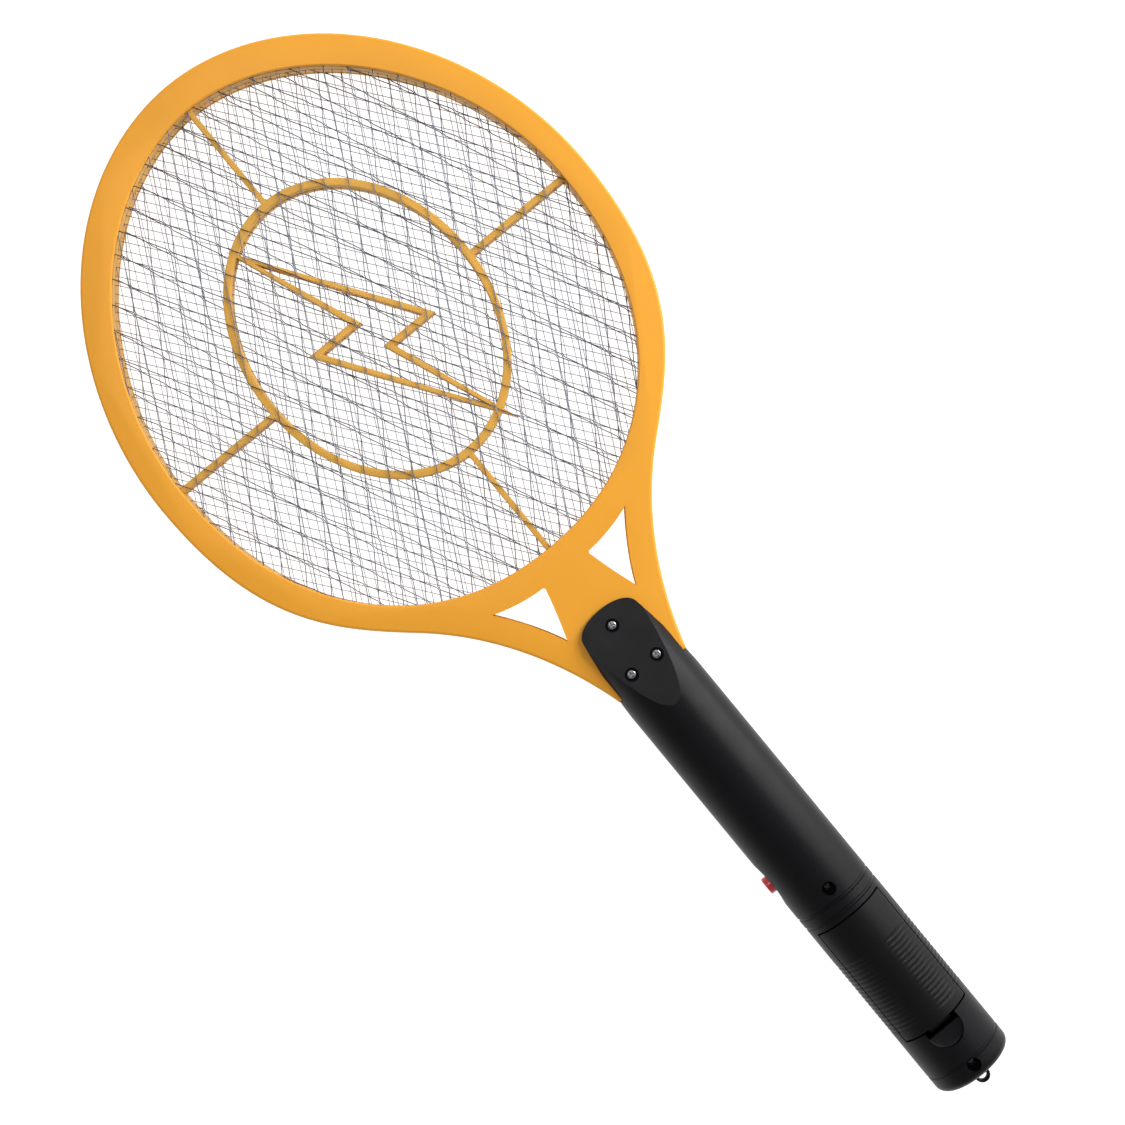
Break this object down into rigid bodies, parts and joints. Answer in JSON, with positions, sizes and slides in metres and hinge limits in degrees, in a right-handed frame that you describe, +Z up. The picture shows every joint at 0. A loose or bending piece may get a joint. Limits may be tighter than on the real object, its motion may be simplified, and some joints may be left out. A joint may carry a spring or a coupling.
{
  "type": "electric fly swatter",
  "caption": "Racket-shaped electric fly swatter with an egg-shaped three-layer grid head, round battery handle and side button.",
  "frame": {"origin": "middle of the bounding box's underside, on the floor under the swatter", "axes": "lying flat: +Y along the handle towards the head, +Z up out of the battery-door side, +X to the right when seen from above with the head away"},
  "size_m": [0.2162, 0.5092, 0.0345],
  "materials": {
    "orange_plastic": "satin moulded ABS",
    "black_plastic": "fine matte moulded ABS",
    "red_plastic": "glossy moulded ABS",
    "grid_wire": "bare slit and stretched sheet",
    "steel": "zinc plated",
    "board": "bare phenolic board with solder side down",
    "ferrite": "matte sintered ferrite",
    "copper": "enamelled copper winding",
    "film_maroon": "dipped epoxy",
    "ceramic_tan": "dipped epoxy",
    "resin_black": "moulded epoxy",
    "cell_case": "printed steel can without any print",
    "lens": "clear epoxy",
    "red_wire": "PVC insulation",
    "black_wire": "PVC insulation"
  },
  "bodies": {
    "grip": {"frame_rear_half": "orange_plastic", "frame_front_half": "orange_plastic", "spacer_rear": "orange_plastic", "spacer_front": "orange_plastic", "rear_grid": "grid_wire", "center_grid": "grid_wire", "front_grid": "grid_wire", "handle_rear_shell": "black_plastic", "handle_front_shell": "black_plastic", "neck_screw_1": "steel", "neck_screw_2": "steel", "neck_screw_3": "steel", "grip_screw": "steel", "butt_screw": "steel", "switch_body": "resin_black", "circuit_board": "board", "indicator_led": "lens", "transformer_core": "ferrite", "transformer_coil": "copper", "film_capacitor": "film_maroon", "disc_capacitor_1": "ceramic_tan", "disc_capacitor_2": "ceramic_tan", "rectifier_diode_1": "resin_black", "rectifier_diode_2": "resin_black", "rectifier_diode_3": "resin_black", "transistor": "resin_black", "resistor_1": "ceramic_tan", "resistor_2": "ceramic_tan", "cell_left": "cell_case", "cell_right": "cell_case", "contact_positive": "steel", "contact_negative": "steel", "contact_bridge": "steel", "spring_negative": "steel", "spring_bridge": "steel", "battery_lead_red": "red_wire", "battery_lead_black": "black_wire", "grid_lead_rear": "black_wire", "grid_lead_front": "black_wire", "grid_lead_center": "red_wire"},
    "door": {"battery_door": "black_plastic"},
    "button": {"push_button": "red_plastic"},
    "plunger": {"switch_plunger": "black_plastic"}
  },
  "joints": [
    {"name": "button_press", "type": "slide", "parent": "grip", "child": "button", "axis": [1, 0, 0], "range_m": [0, 0.0012], "stiffness_N_per_m": 400, "springref_m": -0.002},
    {"name": "plunger_travel", "type": "slide", "parent": "grip", "child": "plunger", "axis": [1, 0, 0], "range_m": [0, 0.0012]},
    {"name": "door_hinge", "type": "hinge", "parent": "grip", "child": "door", "pos_m": [0, -0.1656, 0.0345], "axis": [-1, 0, 0], "range_deg": [0, 50]}
  ],
  "couplings": [
    {"joint": "plunger_travel", "follows": "button_press", "ratio": 1}
  ]
}
